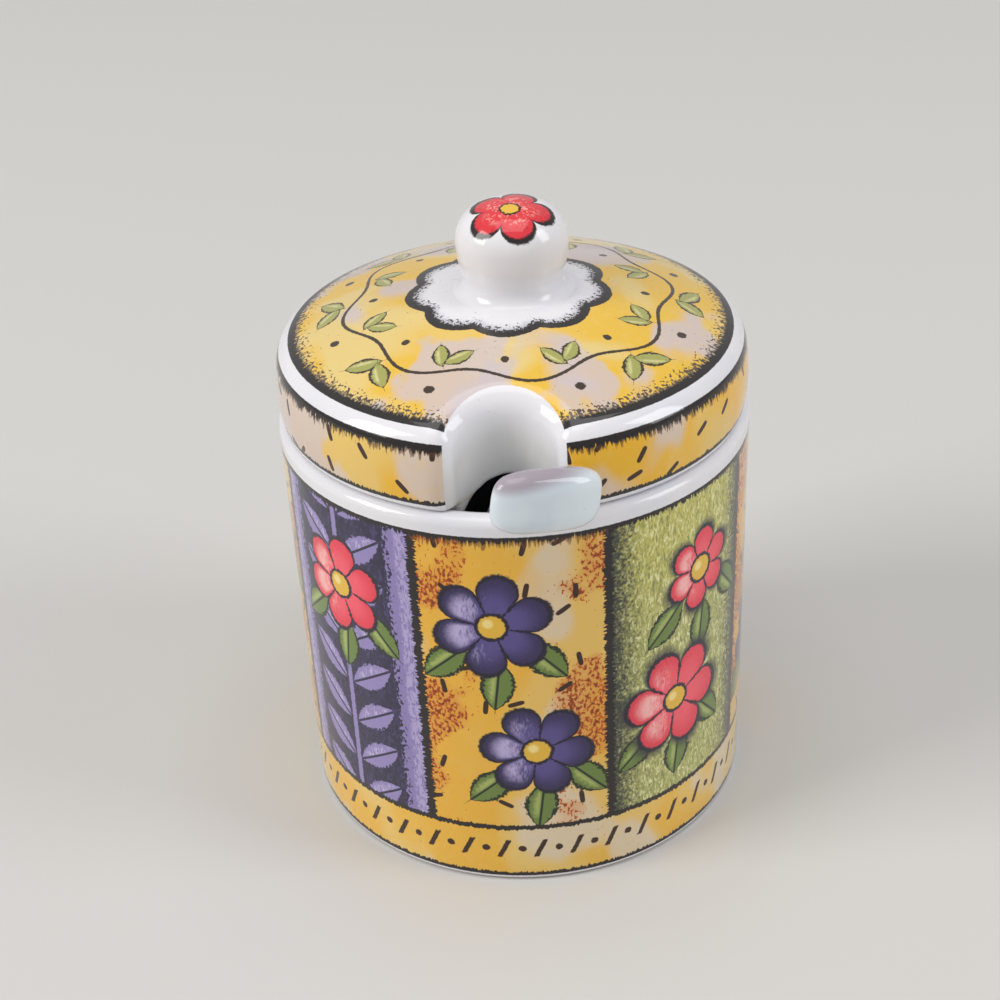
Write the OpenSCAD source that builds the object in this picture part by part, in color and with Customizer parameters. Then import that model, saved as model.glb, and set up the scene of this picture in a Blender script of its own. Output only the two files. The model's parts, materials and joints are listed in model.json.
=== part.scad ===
// Covered jam pot with a notched lid and a serving spoon.
// The origin is the centre of the foot, on the surface that the pot stands on.
// +Z is up, and the notch in the lid faces -Y.

/* [Pot] */
// Outside diameter of the pot
pot_d = 90; // [84:1:100]
// Height of the rim above the table
pot_h = 83.2; // [76:0.2:94]
// Thickness of the side wall
pot_wall = 4.5; // [3.8:0.1:5.2]
// Height of the inside floor above the table
floor_h = 5; // [4:0.5:8]
// Rounding between the inside floor and the wall
floor_fillet = 6; // [3:0.5:9]
// Rounding of the outer bottom edge
base_round = 1.5; // [0.6:0.1:2]
// Width of the ring that the pot stands on
foot_ring = 5; // [3:0.5:8]
// Depth of the hollow inside the foot ring
foot_recess = 1.4; // [0.8:0.1:2]
// Outer rounding of the rim
rim_round_out = 1.8; // [1:0.1:2]
// Inner rounding of the rim
rim_round_in = 2.2; // [1.4:0.1:2.4]

/* [Lid] */
// Height of the lid's crown above its bearing edge
lid_h = 23.4; // [21:0.2:26]
// How far the lid's widest line stays inside the pot's outside
lid_inset = 0.5; // [0.2:0.1:1.2]
// Thickness of the lid's wall
lid_wall = 4.2; // [3.6:0.1:4.6]
// Height of the lid's widest line above its bearing edge
lid_belly_h = 6.3; // [5:0.1:7.5]
// Radius of the bulge in the lid's side
lid_belly_r = 32; // [24:1:60]
// Rounding between the lid's side and its top
lid_shoulder_r = 5; // [4.6:0.2:7]
// Radius of the domed top
lid_dome_r = 111; // [100:1:140]
// Rounding of the lid's lower outer edge
lid_edge_r = 1.3; // [0.8:0.1:2]
// Rounding inside the lid, between its side and its top
lid_inner_round = 4; // [2:0.5:6]
// Gap that the glaze leaves between the lid and the rim
lid_seat_gap = 0.2; // [0.1:0.05:0.4]
// Play of the lid's flange in the mouth of the pot
flange_play = 0.7; // [0.4:0.1:1.2]
// Thickness of the flange
flange_t = 3.2; // [2.4:0.1:4]
// How far the flange reaches down into the pot
flange_drop = 6.8; // [4:0.2:10]

/* [Notch] */
// Radius of the notch
notch_r = 9.3; // [9:0.1:10]
// How far the notch reaches in from the lid's widest line
notch_reach = 10.5; // [9.6:0.1:11]
// Thickness of the wall behind the notch
notch_wall = 4; // [3:0.1:5]
// Height above the lid's bearing edge of the arch that lets the spoon under that wall
notch_arch_h = 2.6; // [2:0.1:3.2]
// Radius of that arch
notch_arch_r = 9.6; // [9.4:0.1:10.4]
// Sideways place of that arch
notch_arch_side = 0.9; // [0.6:0.1:1.6]
// Rounding of the lip at the back of the notch
lip_back_r = 5; // [3.5:0.1:5.4]
// Rounding of the lip at the sides of the notch
lip_side_r = 3.9; // [2.4:0.1:4.2]

/* [Knob] */
// Widest diameter of the knob
knob_d = 20.7; // [18.7:0.1:22.5]
// Height of the knob above its seat
knob_h = 17; // [16.8:0.2:20]
// Height of the knob's widest line above its seat
knob_belly_h = 9.4; // [8:0.2:9.4]
// Radius of the curve between the knob's neck and its widest line
knob_neck_r = 22; // [18:1:40]
// Radius of the hollow curve that spreads the knob's foot
knob_foot_r = 2.4; // [1.5:0.1:3]
// Thickness of the edge of that foot
knob_foot_edge = 0.25; // [0.15:0.05:0.5]
// Rounding between the knob's side and its crown
knob_crown_round = 6.5; // [5:0.1:7]
// Radius of the knob's crown
knob_crown_r = 18; // [16:0.5:24]
// How far the knob was set off the lid's axis by hand
knob_off = 1; // [0:0.05:1.2]
// Flat land round the foot of the knob
knob_land = 1; // [0.5:0.1:2]

/* [Spoon] */
// Turn of the handle from straight outwards
spoon_turn = 26; // [20:1:28]
// Sideways place of the handle where it crosses the rim
spoon_side = 3.7; // [2:0.1:3.9]
// Slope of the handle's thick end
spoon_end_slope = 3; // [0:1:12]
// How far the handle's end reaches out from the rim's inner corner
spoon_reach = 11; // [9:0.2:14]
// Twist of the handle's end, with its right side down
spoon_twist = 11; // [0:1:16]
// Width of the handle's end
spoon_end_w = 20.4; // [17:0.2:21]
// Thickness of the handle's end
spoon_end_t = 11.2; // [9:0.2:12]
// Length over which the handle's end slims down to the handle
spoon_slim_run = 5; // [4:0.5:6.5]
// Width of the handle in the notch
shank_w = 8.2; // [7:0.2:8.6]
// Thickness of the handle in the notch
shank_t = 5.2; // [4:0.1:5.4]
// Radius of the bend between the handle's end and its straight part
spoon_bend_r = 12; // [9:0.5:16]
// Length of the bowl
bowl_len = 35; // [30:1:38]
// Width of the bowl
bowl_w = 24; // [20:0.5:26]
// Depth of the bowl's hollow
bowl_depth = 5.6; // [4:0.2:7]
// Thickness of the bowl's wall
bowl_t = 2.6; // [2:0.1:3.4]
// Slope of the bowl
bowl_slope = 38; // [32:1:44]
// Radius of the bend between the handle and the bowl
bowl_bend_r = 30; // [20:1:50]
// Space between the tip of the bowl and the pot's wall
tip_gap = 4.5; // [3:0.5:8]
// Space between the middle of the spoon and the rim, whose curve brings one side of the handle nearer
spoon_rim_gap = 0.9; // [0.8:0.05:1.2]
// Space between the bowl and the inside floor
spoon_floor_gap = 0.3; // [0.2:0.05:0.8]

/* [Hidden] */
$fn = 128;

// How far a cut runs past the solid that it cuts
overrun = 1.5;
// How far the lip's cutter stands clear of the surfaces that it blends
lip_lift = 0.02;

pot_r = pot_d / 2;
mouth_r = pot_r - pot_wall;
knob_r = knob_d / 2;

lid_z = pot_h + lid_seat_gap;
lid_r = pot_r - lid_inset;
crown_z = lid_z + lid_h;
flange_r = mouth_r - flange_play;

// Centres of the arcs in the lid's outline, as [radius, height]
dome_centre = [0, crown_z - lid_dome_r];
belly_centre = [lid_r - lid_belly_r, lid_z + lid_belly_h];
belly_to_dome = belly_centre - dome_centre;
shoulder_side = lid_belly_r - lid_shoulder_r;
shoulder_dome = lid_dome_r - lid_shoulder_r;
belly_dome_d = norm(belly_to_dome);
shoulder_turn = acos((belly_dome_d ^ 2 + shoulder_dome ^ 2 - shoulder_side ^ 2)
    / (2 * belly_dome_d * shoulder_dome));
dome_end = atan2(belly_to_dome[1], belly_to_dome[0]) - shoulder_turn;
shoulder_centre = dome_centre + shoulder_dome * [cos(dome_end), sin(dome_end)];
shoulder_end = atan2(shoulder_centre[1] - belly_centre[1], shoulder_centre[0] - belly_centre[0]);
side_end = -asin((lid_belly_h - lid_edge_r) / (lid_belly_r - lid_edge_r));
edge_centre = [belly_centre[0] + (lid_belly_r - lid_edge_r) * cos(side_end), lid_z + lid_edge_r];

// Centres of the arcs in the knob's outline, measured from its seat
knob_neck_centre = [knob_r - knob_neck_r, knob_belly_h];
knob_foot_centre = [
    knob_neck_centre[0] + sqrt((knob_neck_r + knob_foot_r) ^ 2 - (knob_belly_h - knob_foot_r) ^ 2),
    knob_foot_r
];
knob_neck_to_foot = knob_foot_centre - knob_neck_centre;
knob_foot_angle = atan2(knob_neck_to_foot[1], knob_neck_to_foot[0]);
knob_crown_z = knob_h - knob_crown_r
    + sqrt((knob_crown_r - knob_crown_round) ^ 2 - (knob_r - knob_crown_round) ^ 2);
knob_crown_angle = atan2(knob_crown_z - (knob_h - knob_crown_r), knob_r - knob_crown_round);
knob_seat_r = knob_foot_centre[0] + knob_off + knob_land;
knob_seat_z = dome_centre[1] + sqrt(lid_dome_r ^ 2 - knob_seat_r ^ 2);

notch_y = lid_r - notch_reach + notch_r;

function mix(a, b, share) = a + (b - a) * share;

// Points of an arc about a centre, from one angle to another
function arc(centre, r, from, to, steps) =
    [for (i = [0 : steps]) let (angle = mix(from, to, i / steps)) centre + r * [cos(angle), sin(angle)]];

// A share that rises smoothly from 0 to 1 as x goes from a to b
function rise(x, a, b) = let (t = min(1, max(0, (x - a) / (b - a)))) t * t * (3 - 2 * t);

// The body of the pot: a straight cup on a low foot ring, with a rounded rim
module pot() {
    color("ivory")
        rotate_extrude()
            polygon(concat(
                [[0, foot_recess]],
                arc([pot_r - base_round - foot_ring + foot_recess, foot_recess], foot_recess, 180, 270, 4),
                arc([pot_r - base_round, base_round], base_round, -90, 0, 5),
                arc([pot_r - rim_round_out, pot_h - rim_round_out], rim_round_out, 0, 90, 6),
                arc([mouth_r + rim_round_in, pot_h - rim_round_in], rim_round_in, 90, 180, 6),
                arc([mouth_r - floor_fillet, floor_h + floor_fillet], floor_fillet, 0, -90, 8),
                [[0, floor_h]]
            ));
}

// Outline of the lid's outside, from the knob's seat to the bearing edge
function lid_outside() = concat(
    [[0, knob_seat_z]],
    arc(dome_centre, lid_dome_r, acos(knob_seat_r / lid_dome_r), dome_end, 8),
    arc(shoulder_centre, lid_shoulder_r, dome_end, shoulder_end, 8),
    arc(belly_centre, lid_belly_r, shoulder_end, side_end, 6),
    arc(edge_centre, lid_edge_r, side_end, -90, 4)
);

// Outline of the lid's underside, from the bearing edge round the flange to the axis
function lid_inside() =
    let (
        inner_r = lid_r - lid_wall,
        inner_dome_r = lid_dome_r - lid_wall,
        corner = [
            inner_r - lid_inner_round,
            dome_centre[1] + sqrt((inner_dome_r - lid_inner_round) ^ 2 - (inner_r - lid_inner_round) ^ 2)
        ],
        corner_end = atan2(corner[1] - dome_centre[1], corner[0])
    )
    concat(
        [[flange_r, lid_z]],
        arc([flange_r - flange_t / 2, lid_z - flange_drop + flange_t / 2], flange_t / 2, 0, -180, 8),
        [[flange_r - flange_t, lid_z], [inner_r, lid_z + inner_r - flange_r + flange_t]],
        arc(corner, lid_inner_round, 0, corner_end, 6),
        arc(dome_centre, inner_dome_r, corner_end, 90, 6)
    );

// Outline of the space that the wall behind the notch may fill, down to the foot of the flange
function lid_envelope() = concat(
    lid_outside(),
    [[flange_r, lid_z]],
    arc([flange_r - flange_t / 2, lid_z - flange_drop + flange_t / 2], flange_t / 2, 0, -90, 4),
    [[0, lid_z - flange_drop]]
);

// The lid's cover: a hollow cap, the wall behind its notch, and the notch with its rounded lip
module lid() {
    color("goldenrod")
        difference() {
            union() {
                rotate_extrude()
                    polygon(concat(lid_outside(), lid_inside()));
                intersection() {
                    rotate_extrude()
                        polygon(lid_envelope());
                    translate([0, -notch_y, lid_z - flange_drop])
                        cylinder(r = notch_r + notch_wall, h = flange_drop + lid_h);
                }
            }
            notch_cut();
            arch_cut();
            lip_cutter();
        }
}

// The notch itself: a half-round scoop that is open towards the front
module notch_cut() {
    cut_z = lid_z - flange_drop - overrun;
    cut_h = flange_drop + lid_h + 2 * overrun;
    translate([0, -notch_y, cut_z])
        cylinder(r = notch_r, h = cut_h);
    translate([-notch_r, -notch_y - notch_r, cut_z])
        cube([2 * notch_r, notch_r, cut_h]);
}

// The arch through that wall and the flange, where the spoon passes
module arch_cut() {
    arch_z = lid_z + notch_arch_h - notch_arch_r;
    arch_l = notch_reach + notch_wall + overrun;
    translate([notch_arch_side, -lid_r, arch_z])
        rotate([-90, 0, 0])
            cylinder(r = notch_arch_r, h = arch_l);
    translate([notch_arch_side - notch_arch_r, -lid_r, arch_z - flange_drop])
        cube([2 * notch_arch_r, arch_l, flange_drop]);
}

// Shares of the lip between which its rounding shrinks, from the back of the notch to the bearing edge
lip_shrink_shares = [0.1, 0.75];
function lip_r(share) =
    mix(lip_back_r, lip_side_r, rise(share, lip_shrink_shares[0], lip_shrink_shares[1]));

// Turn about the lid's axis at which a ball touches the notch's wall,
// for a ball of radius r whose centre is rho from that axis
function lip_turn(rho, r) =
    acos(min(1, (rho ^ 2 + notch_y ^ 2 - (notch_r + r) ^ 2) / (2 * rho * notch_y)));

// A place of the ball that rounds the lip, as
// [centre, direction to the lid's surface, direction to the notch's wall, radius]
function lip_place(rho, z, out, up, turn, r) =
    let (
        centre = [rho * sin(turn), -rho * cos(turn), z],
        to_notch = [-centre[0], -notch_y - centre[1], 0]
    )
    [centre, [out * sin(turn), -out * cos(turn), up], to_notch / norm(to_notch), r];

// Places on the dome, where the angle is measured round the notch from its back
function lip_on_dome(angle, r) =
    let (
        reach = notch_r + r,
        rho = norm([reach * sin(angle), notch_y - reach * cos(angle)]),
        z = dome_centre[1] + sqrt((lid_dome_r - r) ^ 2 - rho ^ 2),
        out = rho / (lid_dome_r - r)
    )
    lip_place(rho, z, out, sqrt(1 - out ^ 2), lip_turn(rho, r), r);

// Places on the shoulder and the side, where the angle is the slope of the lid's outline
function lip_on_side(angle, r) =
    let (
        round = angle > shoulder_end,
        middle = round ? shoulder_centre : belly_centre,
        arm = (round ? lid_shoulder_r : lid_belly_r) - r,
        rho = middle[0] + arm * cos(angle),
        z = middle[1] + arm * sin(angle)
    )
    lip_place(rho, z, cos(angle), sin(angle), lip_turn(rho, r), r);

// Share of the lip at which the dome ends
dome_share = 0.55;
dome_steps = 9;
side_steps = 11;
// Angle round the notch at which the ball leaves the dome
dome_lip_r = lip_r(dome_share);
dome_edge_rho = shoulder_centre[0] + (lid_shoulder_r - dome_lip_r) * cos(dome_end);
dome_edge_angle = acos((notch_y ^ 2 + (notch_r + dome_lip_r) ^ 2 - dome_edge_rho ^ 2)
    / (2 * notch_y * (notch_r + dome_lip_r)));

half_lip = concat(
    [for (i = [0 : dome_steps - 1]) let (share = i / dome_steps)
        lip_on_dome(dome_edge_angle * share, lip_r(dome_share * share))],
    [for (i = [0 : side_steps]) let (share = i / side_steps)
        lip_on_side(mix(dome_end, side_end, share), lip_r(mix(dome_share, 1, share)))]
);

function mirrored(p) = [-p[0], p[1], p[2]];

function lowered(p) = p - [0, 0, lid_edge_r + overrun];

// Outline of the cutter at one place of the ball: outside the ball,
// between the two surfaces that it touches
function lip_section(place) =
    let (
        steps = 6,
        centre = place[0],
        to_lid = place[1],
        to_wall = place[2],
        r = place[3],
        angle = acos(to_lid * to_wall)
    )
    concat(
        [centre + (r + overrun) * to_lid],
        [centre + (r + lip_lift) * to_lid],
        [for (i = [1 : steps - 1]) let (a = angle * i / steps)
            centre + r * (sin(angle - a) * to_lid + sin(a) * to_wall) / sin(angle)],
        [centre + (r + lip_lift) * to_wall],
        [centre + (r + overrun) * to_wall],
        [centre + (r + overrun) * (to_lid + to_wall)]
    );

// The solid that rounds the notch's lip, swept by a ball that rolls along the edge
module lip_cutter() {
    right = [for (place = half_lip) lip_section(place)];
    count = len(right);
    foot = [for (p = right[count - 1]) lowered(p)];
    sections = concat(
        [[for (p = foot) mirrored(p)]],
        [for (i = [count - 1 : -1 : 1]) [for (p = right[i]) mirrored(p)]],
        right,
        [foot]
    );
    loft(sections);
}

// A closed solid through a row of outlines that have the same number of points
module loft(sections) {
    n = len(sections[0]);
    last = len(sections) - 1;
    polyhedron(
        points = [for (section = sections) for (p = section) p],
        faces = concat(
            [[for (i = [n - 1 : -1 : 0]) i]],
            [for (s = [0 : last - 1]) for (i = [0 : n - 1]) let (a = s * n + i, b = s * n + (i + 1) % n)
                each [[a, b, b + n], [a, b + n, a + n]]],
            [[for (i = [0 : n - 1]) last * n + i]]
        )
    );
}

// The knob: a solid turned form with a spreading foot, luted to the lid's crown
module knob() {
    color("white")
        translate([knob_off, 0, knob_seat_z])
            rotate_extrude()
                polygon(concat(
                    [[0, 0]],
                    arc(knob_foot_centre, knob_foot_r, 270 - acos(1 - knob_foot_edge / knob_foot_r),
                        180 + knob_foot_angle, 5),
                    arc(knob_neck_centre, knob_neck_r, knob_foot_angle, 0, 6),
                    arc([knob_r - knob_crown_round, knob_crown_z], knob_crown_round,
                        0, knob_crown_angle, 8),
                    arc([0, knob_h - knob_crown_r], knob_crown_r, knob_crown_angle, 90, 4)
                ));
}

// The spoon's centre line lies in an upright plane. A point in it is [distance inwards from the
// middle of the rim's inner rounding, height], and a slope is counted downwards on the way in.
rim_corner = [0, pot_h - rim_round_in];
rim_corner_r = mouth_r + rim_round_in;
spoon_in = [-sin(spoon_turn), cos(spoon_turn)];
spoon_across = [cos(spoon_turn), sin(spoon_turn), 0];
spoon_start = [spoon_side, -sqrt(rim_corner_r ^ 2 - spoon_side ^ 2)];
tip_r = mouth_r - tip_gap;
start_in = spoon_start * spoon_in;
tip_in = sqrt(start_in ^ 2 - rim_corner_r ^ 2 + tip_r ^ 2) - start_in;

function slope_down(slope) = [cos(slope), -sin(slope)];
function slope_up(slope) = [sin(slope), cos(slope)];

// Shares of the bowl's length: where it is widest, where it is deepest, where its hollow begins,
// where its underside thins from the handle to the rim, and where its tip begins to close
wide_share = 0.56;
deep_share = 0.52;
hollow_share = 0.04;
thin_shares = [0.3, 0.9];
close_shares = [0.86, 1.06];
// The share of the tip's closing that its underside takes part in
tip_share = 0.6;
// The last section stands just short of the tip
bowl_last_share = 0.998;
bowl_steps = 20;
bowl_rim_t = bowl_t / 2;

// The bowl's half width, hollow and depth below its centre line, at a share of its length
function bowl_half_w(share) = share < wide_share
    ? mix(shank_w / 2, bowl_w / 2, rise(share, -2 * hollow_share, wide_share + hollow_share))
    : bowl_w / 2 * sqrt(1 - ((share - wide_share) / (1 - wide_share)) ^ 2);
function bowl_fill(share) = share < deep_share
    ? rise(share, 0, deep_share)
    : (1 - ((share - deep_share) / (1 - deep_share)) ^ 2.4) ^ 0.6;
function bowl_hollow(share) =
    bowl_depth * rise(share, hollow_share, deep_share) * (share < deep_share ? 1 : bowl_fill(share));
function bowl_below(share) = mix(
    mix(shank_t / 2, bowl_rim_t, rise(share, thin_shares[0], thin_shares[1])),
    bowl_depth + bowl_rim_t,
    bowl_fill(share)
);
bowl_dip = max([for (i = [0 : bowl_steps]) let (share = bowl_last_share * i / bowl_steps)
    share * bowl_len * sin(bowl_slope) + bowl_below(share) * cos(bowl_slope)]);
bowl_start = [tip_in - bowl_len * cos(bowl_slope), floor_h + spoon_floor_gap + bowl_dip];

// The straight part of the handle runs up from the bowl and passes just over the rim's inner corner
shank_lift = rim_round_in + spoon_rim_gap + shank_t / 2;
end_lift = rim_round_in + spoon_rim_gap + spoon_end_t / 2;
to_corner = bowl_start - rim_corner;
shank_slope = asin(shank_lift / norm(to_corner)) + atan2(-to_corner[1], to_corner[0]);
// The place where the lines of the thick end and the straight part cross
bend_point = rim_corner + [
    shank_lift * cos(spoon_end_slope) - end_lift * cos(shank_slope),
    end_lift * sin(shank_slope) - shank_lift * sin(spoon_end_slope)
] / sin(shank_slope - spoon_end_slope);
bend_trim = spoon_bend_r * tan((shank_slope - spoon_end_slope) / 2);
bowl_trim = bowl_bend_r * tan((shank_slope - bowl_slope) / 2);

// The stretches of the centre line from the tip of the handle to the tip of the bowl
end_run = (bend_point[0] + spoon_reach) / cos(spoon_end_slope) - bend_trim;
bend_run = spoon_bend_r * (shank_slope - spoon_end_slope) * PI / 180;
shank_run = norm(bowl_start - bend_point) - bend_trim - bowl_trim;
bowl_bend_run = bowl_bend_r * (shank_slope - bowl_slope) * PI / 180;
bend_at = end_run + bend_run;
shank_at = bend_at + shank_run;
bowl_at = shank_at + bowl_bend_run;
bowl_run = bowl_len - bowl_trim;
spoon_len = bowl_at + bowl_run;

// A point at a distance along a stretch that starts at a point and a slope, and turns at a rate
function along(start, slope, rate, run) = rate == 0
    ? start + run * slope_down(slope)
    : start + (slope_up(slope + rate * run) - slope_up(slope)) * 180 / (PI * rate);

tip_point = bend_point - (end_run + bend_trim) * slope_down(spoon_end_slope);
bend_start = bend_point - bend_trim * slope_down(spoon_end_slope);
bend_end = bend_point + bend_trim * slope_down(shank_slope);
bowl_bend_start = bowl_start - bowl_trim * slope_down(shank_slope);
bowl_bend_end = bowl_start + bowl_trim * slope_down(bowl_slope);
bend_rate = (shank_slope - spoon_end_slope) / bend_run;
bowl_rate = (bowl_slope - shank_slope) / bowl_bend_run;

// The centre line's slope at a distance from the handle's tip, and its point there
function spine_slope(at) =
    at < end_run ? spoon_end_slope
    : at < bend_at ? spoon_end_slope + bend_rate * (at - end_run)
    : at < shank_at ? shank_slope
    : at < bowl_at ? shank_slope + bowl_rate * (at - shank_at)
    : bowl_slope;
function spine_point(at) =
    at < end_run ? along(tip_point, spoon_end_slope, 0, at)
    : at < bend_at ? along(bend_start, spoon_end_slope, bend_rate, at - end_run)
    : at < shank_at ? along(bend_end, shank_slope, 0, at - bend_at)
    : at < bowl_at ? along(bowl_bend_start, shank_slope, bowl_rate, at - shank_at)
    : along(bowl_bend_end, bowl_slope, 0, at - bowl_at);

// The handle's end is pillow-shaped: its sections close in at the tip, over runs that are shares
// of its width and its thickness
pillow_shares = [0.21, 0.28];
pillow_run = spoon_end_w * pillow_shares[0];
pillow_depth = spoon_end_t * pillow_shares[1];
// Squareness of the sections of the thick end and of the slim handle and bowl: 1 is an ellipse
square_shares = [0.56, 0.9];
function pillow(at, depth) = at < depth ? (1 - (1 - at / depth) ^ 2.6) ^ (1 / 2.6) : 1;
slim_from = pillow_run;
// Share of the way from the thick end's section to the slim handle's
function slimming(at) = rise(at, slim_from, slim_from + spoon_slim_run);

// A section of the spoon: [half width, height above the centre line, depth below it, hollow, squareness]
function handle_section(at) = let (
        share = slimming(at),
        half_w = pillow(at, pillow_run) * mix(spoon_end_w, shank_w, share) / 2,
        half_t = pillow(at, pillow_depth) * mix(spoon_end_t, shank_t, share) / 2
    )
    [half_w, half_t, half_t, 0, mix(square_shares[0], square_shares[1], share)];
function bowl_section(at) = let (
        share = bowl_last_share * (at - shank_at) / (spoon_len - shank_at),
        tip = sqrt(1 - rise(share, close_shares[0], close_shares[1]) ^ 2)
    )
    [bowl_half_w(share), tip * mix(shank_t / 2, bowl_rim_t, rise(share, 0, 0.4)),
        mix(1, tip, tip_share) * bowl_below(share), bowl_hollow(share), square_shares[1]];

// The closed outline of a section, upright across the spoon's centre line
spoon_sides = 28;
function signed_power(x, power) = sign(x) * abs(x) ^ power;
function spoon_outline(at) =
    let (
        section = at < shank_at ? handle_section(at) : bowl_section(at),
        middle = spine_point(at),
        slope = spine_slope(at),
        twist = spoon_twist * (1 - slimming(at)),
        flat_up = [spoon_in[0] * sin(slope), spoon_in[1] * sin(slope), cos(slope)],
        across = cos(twist) * spoon_across - sin(twist) * flat_up,
        up = cos(twist) * flat_up + sin(twist) * spoon_across,
        plan = spoon_start + spoon_in * middle[0],
        centre = [plan[0], plan[1], middle[1]]
    )
    [for (i = [0 : spoon_sides - 1]) let (
            a = 360 * i / spoon_sides,
            x = section[0] * signed_power(cos(a), section[4]),
            lift = abs(sin(a)) ^ section[4],
            y = sin(a) < 0 ? -section[2] * lift : section[1] * lift - section[3] * abs(sin(a)) ^ 2.2
        )
        centre + x * across + y * up];

// Distances of the sections from the handle's tip, closest where the form turns fastest
spoon_stations = concat(
    [for (i = [1 : 6]) pillow_run * (1 - cos(15 * i))],
    [for (i = [1 : 8]) mix(pillow_run, bend_at + pillow_depth, i / 8)],
    [for (i = [1 : 4]) mix(bend_at + pillow_depth, shank_at, i / 4)],
    [for (i = [1 : 12]) mix(shank_at, spoon_len, wide_share * i / 12)],
    [for (i = [1 : 10]) mix(shank_at, spoon_len, wide_share + (1 - wide_share) * sin(9 * i))]
);

// The spoon: one lofted form from the pillow-shaped end through the slim handle to the hollow bowl
module spoon() {
    color("aliceblue")
        loft([for (at = spoon_stations) spoon_outline(at)]);
}

pot();
lid();
knob();
spoon();
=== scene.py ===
import json
from math import acos, asin, atan2, cos, degrees, hypot, pi, radians, sin, sqrt

import bpy
from mathutils import Matrix, Vector

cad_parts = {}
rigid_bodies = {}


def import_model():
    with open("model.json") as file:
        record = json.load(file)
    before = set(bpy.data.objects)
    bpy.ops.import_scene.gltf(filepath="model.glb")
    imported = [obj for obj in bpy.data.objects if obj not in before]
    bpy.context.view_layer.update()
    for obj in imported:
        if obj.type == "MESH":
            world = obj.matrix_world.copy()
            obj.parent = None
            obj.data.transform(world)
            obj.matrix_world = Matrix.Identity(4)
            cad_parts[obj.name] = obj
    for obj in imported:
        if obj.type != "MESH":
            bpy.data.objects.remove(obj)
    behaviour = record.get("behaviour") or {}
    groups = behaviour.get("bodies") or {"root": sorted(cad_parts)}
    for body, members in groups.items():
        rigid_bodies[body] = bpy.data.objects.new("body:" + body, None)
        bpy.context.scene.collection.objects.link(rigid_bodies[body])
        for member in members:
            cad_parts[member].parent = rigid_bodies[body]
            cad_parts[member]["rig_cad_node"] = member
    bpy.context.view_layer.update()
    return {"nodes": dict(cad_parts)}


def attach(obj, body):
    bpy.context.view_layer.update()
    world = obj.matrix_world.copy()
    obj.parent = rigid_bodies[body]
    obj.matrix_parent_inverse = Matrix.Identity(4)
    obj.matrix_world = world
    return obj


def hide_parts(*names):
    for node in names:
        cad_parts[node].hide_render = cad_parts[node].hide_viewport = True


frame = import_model()

# THE POT
# The pot is a straight-sided cup of white earthenware, cast in one piece, with a rounded rim and a turned foot
# ring. Its wall is painted in glaze colours under a clear gloss glaze. The ring that it stands on is left bare.

MM = 0.001
pot_r, pot_h, pot_wall, floor_h = 45.0, 83.2, 4.5, 5.0
rim_out, rim_in, floor_fillet = 1.8, 2.2, 6.0
base_round, foot_ring, foot_recess = 1.5, 5.0, 1.4
mouth_r = pot_r - pot_wall
foot_in = pot_r - base_round - foot_ring


def arc(centre, r, start, end, steps):
    """Points of an arc in the outline of a turned piece, with angles in degrees and sizes in millimetres."""
    turns = [radians(start + (end - start) * i / steps) for i in range(steps + 1)]
    return [(centre[0] + r * cos(turn), centre[1] + r * sin(turn)) for turn in turns]


def draw_outline(name, points):
    """Draws an outline in the XZ plane by extruding one vertex from point to point."""
    shortest_step = 1e-7
    bpy.ops.mesh.primitive_plane_add(size=MM)
    piece = bpy.context.object
    piece.name = name
    bpy.ops.object.mode_set(mode="EDIT")
    bpy.ops.mesh.select_all(action="SELECT")
    bpy.ops.mesh.merge(type="CENTER")
    place = Vector((points[0][0] * MM, 0, points[0][1] * MM))
    bpy.ops.transform.translate(value=place)
    for x, z in points[1:]:
        step = Vector((x * MM, 0, z * MM)) - place
        if step.length < shortest_step:
            continue
        bpy.ops.mesh.extrude_region_move(TRANSFORM_OT_translate={"value": step})
        place += step
    return piece


def turn_outline(steps, smooth=True):
    """Spins the outline that is being drawn round the Z axis, and closes its seam and its poles."""
    bpy.ops.mesh.select_all(action="SELECT")
    bpy.ops.mesh.spin(steps=steps, angle=2 * pi, center=(0, 0, 0), axis=(0, 0, 1))
    bpy.ops.mesh.select_all(action="SELECT")
    bpy.ops.mesh.remove_doubles(threshold=2e-6)
    bpy.ops.mesh.normals_make_consistent(inside=False)
    bpy.ops.object.mode_set(mode="OBJECT")
    if smooth:
        bpy.ops.object.shade_smooth()


def deselect():
    bpy.ops.object.select_all(action="DESELECT")


deselect()
underside = [(mouth_r * i / 12, foot_recess) for i in range(11)]
foot_curve = (arc((foot_in + foot_recess, foot_recess), foot_recess, 180, 270, 8)
    + arc((pot_r - base_round, base_round), base_round, -90, 0, 12))
outer_wall = [(pot_r, base_round + (pot_h - rim_out - base_round) * i / 24) for i in range(1, 24)]
rim = (arc((pot_r - rim_out, pot_h - rim_out), rim_out, 0, 90, 14)
    + arc((mouth_r + rim_in, pot_h - rim_in), rim_in, 90, 180, 14))
inner_wall_h = pot_h - rim_in - floor_h - floor_fillet
inner_wall = [(mouth_r, pot_h - rim_in - inner_wall_h * i / 16) for i in range(1, 16)]
pot_floor = (arc((mouth_r - floor_fillet, floor_h + floor_fillet), floor_fillet, 0, -90, 16)
    + [((mouth_r - floor_fillet) * (1 - i / 8), floor_h) for i in range(1, 9)])
pot = draw_outline("glazed_pot", underside + foot_curve + outer_wall + rim + inner_wall + pot_floor)
turn_outline(240)


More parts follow.
